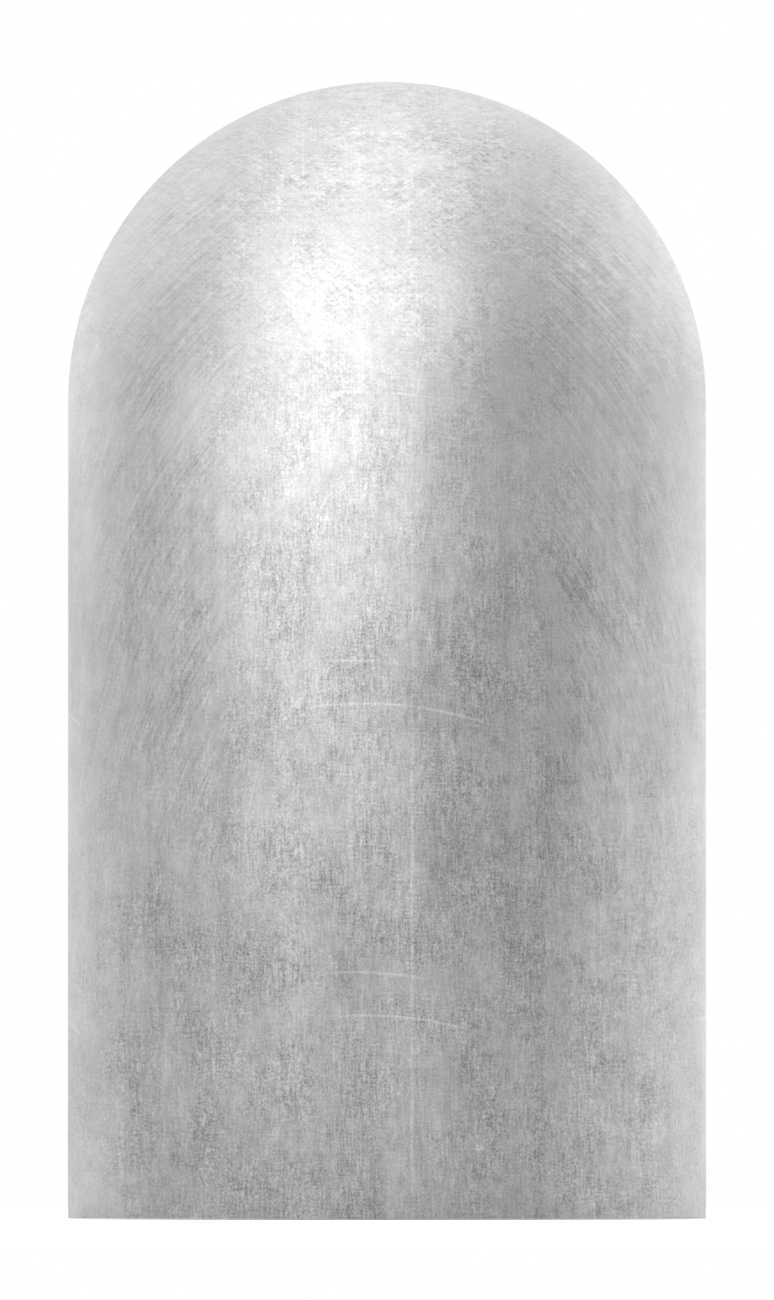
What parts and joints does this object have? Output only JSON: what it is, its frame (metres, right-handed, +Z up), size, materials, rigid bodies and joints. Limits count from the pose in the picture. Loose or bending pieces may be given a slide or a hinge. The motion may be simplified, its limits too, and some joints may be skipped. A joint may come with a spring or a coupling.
{
  "type": "safety bollard",
  "caption": "Stout round bollard with a domed top: a stainless steel skin that lifts off a bolted-down core post, slides on a plastic disc and locks at its foot with grub screws.",
  "frame": {"origin": "on the ground, at the middle of the bollard", "axes": "+Z up along the bollard's axis; -Y is the front, which has no grub screw; +X to the right seen from the front"},
  "size_m": [0.273, 0.273, 0.4865],
  "materials": {
    "brushed_stainless": "brushed stainless steel, worn, with fine upright scratches and faint mottling",
    "mill_stainless": "mill-finish stainless plate, unpolished",
    "stainless_fasteners": "bright A2 stainless",
    "galvanised_steel": "hot-dip galvanised, dull zinc spangle",
    "epdm_rubber": "matt black EPDM sheet",
    "hdpe_plastic": "turned black HDPE sheet",
    "plug_plastic": "moulded black polyethylene"
  },
  "bodies": {
    "post": {"base_plate": "galvanised_steel", "floor_gasket": "epdm_rubber", "core_tube": "galvanised_steel", "core_cap": "galvanised_steel", "vent_plug": "plug_plastic", "gusset_1": "galvanised_steel", "gusset_2": "galvanised_steel", "gusset_3": "galvanised_steel", "gusset_4": "galvanised_steel"},
    "cover": {"cover_tube": "brushed_stainless", "dome_cap": "brushed_stainless", "seam_strip": "mill_stainless", "foot_ring": "mill_stainless", "guide_flange": "mill_stainless", "guide_disc": "hdpe_plastic", "disc_washer_1": "stainless_fasteners", "disc_washer_2": "stainless_fasteners", "disc_washer_3": "stainless_fasteners", "disc_washer_4": "stainless_fasteners", "disc_screw_1": "stainless_fasteners", "disc_screw_2": "stainless_fasteners", "disc_screw_3": "stainless_fasteners", "disc_screw_4": "stainless_fasteners"},
    "grub_screw_left": {"grub_screw_left": "stainless_fasteners"},
    "grub_screw_right": {"grub_screw_right": "stainless_fasteners"},
    "grub_screw_back": {"grub_screw_back": "stainless_fasteners"}
  },
  "joints": [
    {"name": "cover_lift", "type": "slide", "parent": "post", "child": "cover", "axis": [0, 0, 1], "range_m": [0, 0.44]},
    {"name": "left_grub_screw", "type": "slide", "parent": "cover", "child": "grub_screw_left", "axis": [-1, 0, 0], "range_m": [0, 0.003]},
    {"name": "right_grub_screw", "type": "slide", "parent": "cover", "child": "grub_screw_right", "axis": [1, 0, 0], "range_m": [0, 0.003]},
    {"name": "back_grub_screw", "type": "slide", "parent": "cover", "child": "grub_screw_back", "axis": [0, 1, 0], "range_m": [0, 0.003]}
  ]
}
